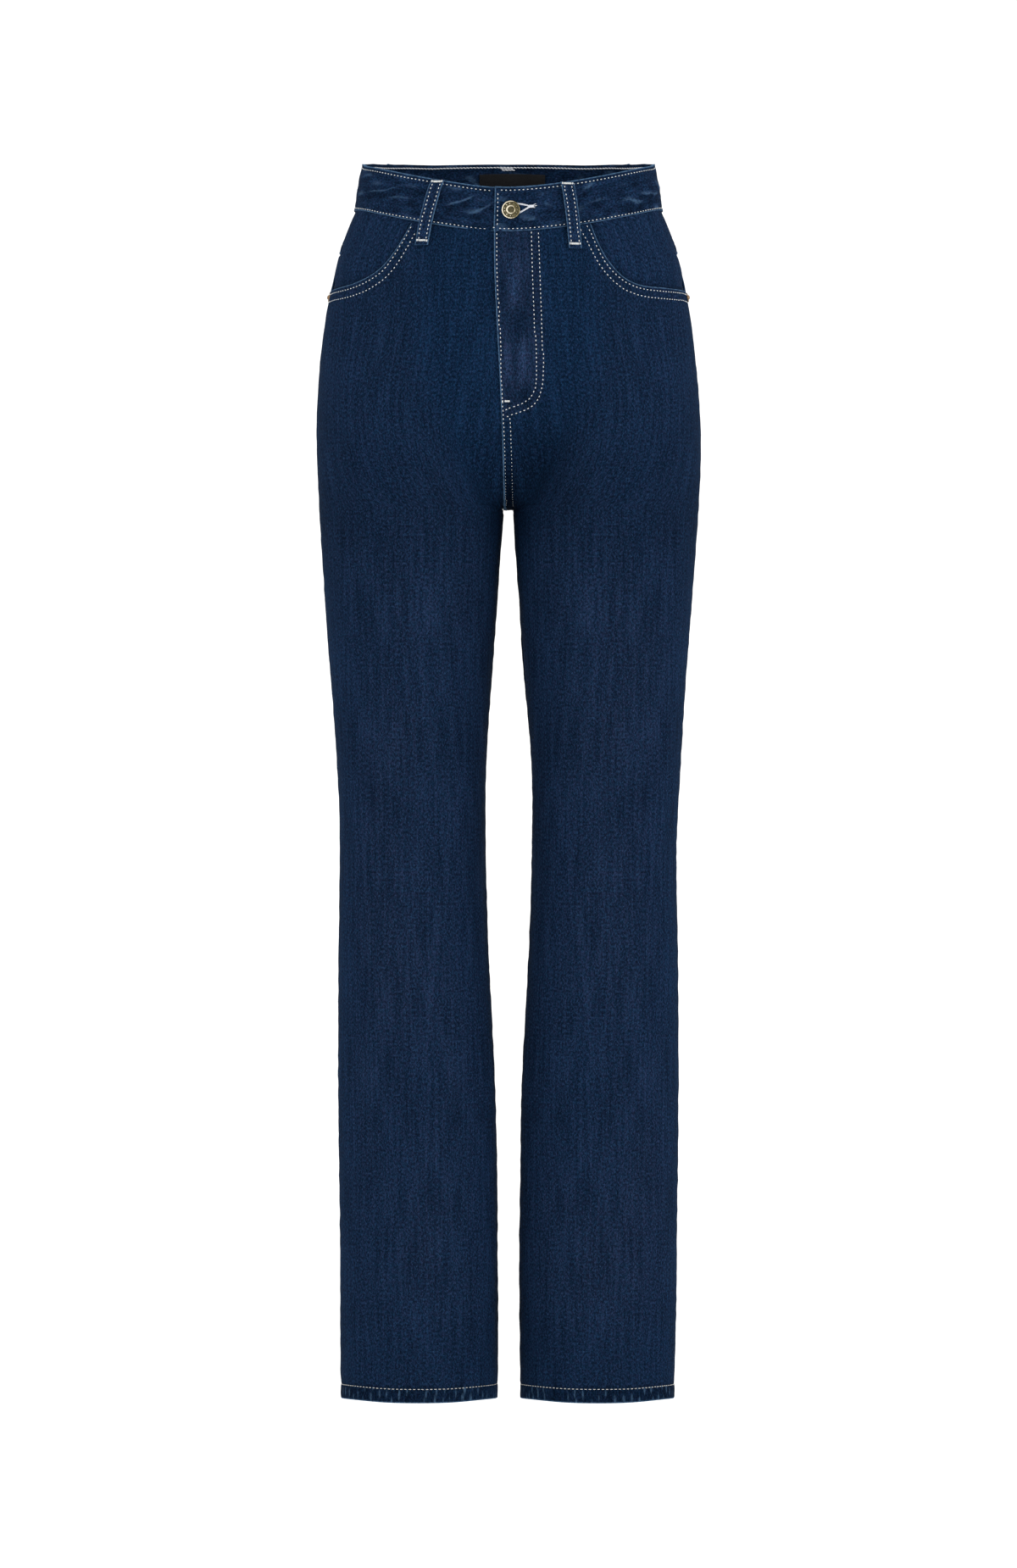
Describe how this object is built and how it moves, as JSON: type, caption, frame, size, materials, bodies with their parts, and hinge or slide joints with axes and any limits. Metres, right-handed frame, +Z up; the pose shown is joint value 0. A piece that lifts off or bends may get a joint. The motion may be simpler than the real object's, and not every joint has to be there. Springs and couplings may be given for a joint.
{
  "type": "bootcut jeans",
  "caption": "Bootcut denim jeans, filled out and hollow, with a buttoned waistband, fly lap, curved front pockets, belt loops, yokes and back pockets.",
  "frame": {"origin": "centre of the waist opening, half way up the waistband at the side seams, where the wearer's waist holds the jeans up", "axes": "+Z up along the legs, +Y towards the back, +X towards the wearer's left"},
  "size_m": [0.3484, 0.233, 1.1284],
  "materials": {
    "denim": "dark indigo cotton twill, matt",
    "button_metal": "aged, satin",
    "rivet_metal": "coppery, aged",
    "label_cloth": "plain black woven tape"
  },
  "bodies": {
    "root": {"waistband": "denim", "front_left": "denim", "front_right": "denim", "back_left": "denim", "back_right": "denim", "yoke_left": "denim", "yoke_right": "denim", "pocket_facing_left": "denim", "pocket_facing_right": "denim", "back_pocket_left": "denim", "back_pocket_right": "denim", "belt_loop_front_left": "denim", "belt_loop_front_right": "denim", "belt_loop_side_left": "denim", "belt_loop_side_right": "denim", "belt_loop_back": "denim", "button": "button_metal", "rivet_left": "rivet_metal", "rivet_right": "rivet_metal", "label": "label_cloth"}
  },
  "joints": []
}
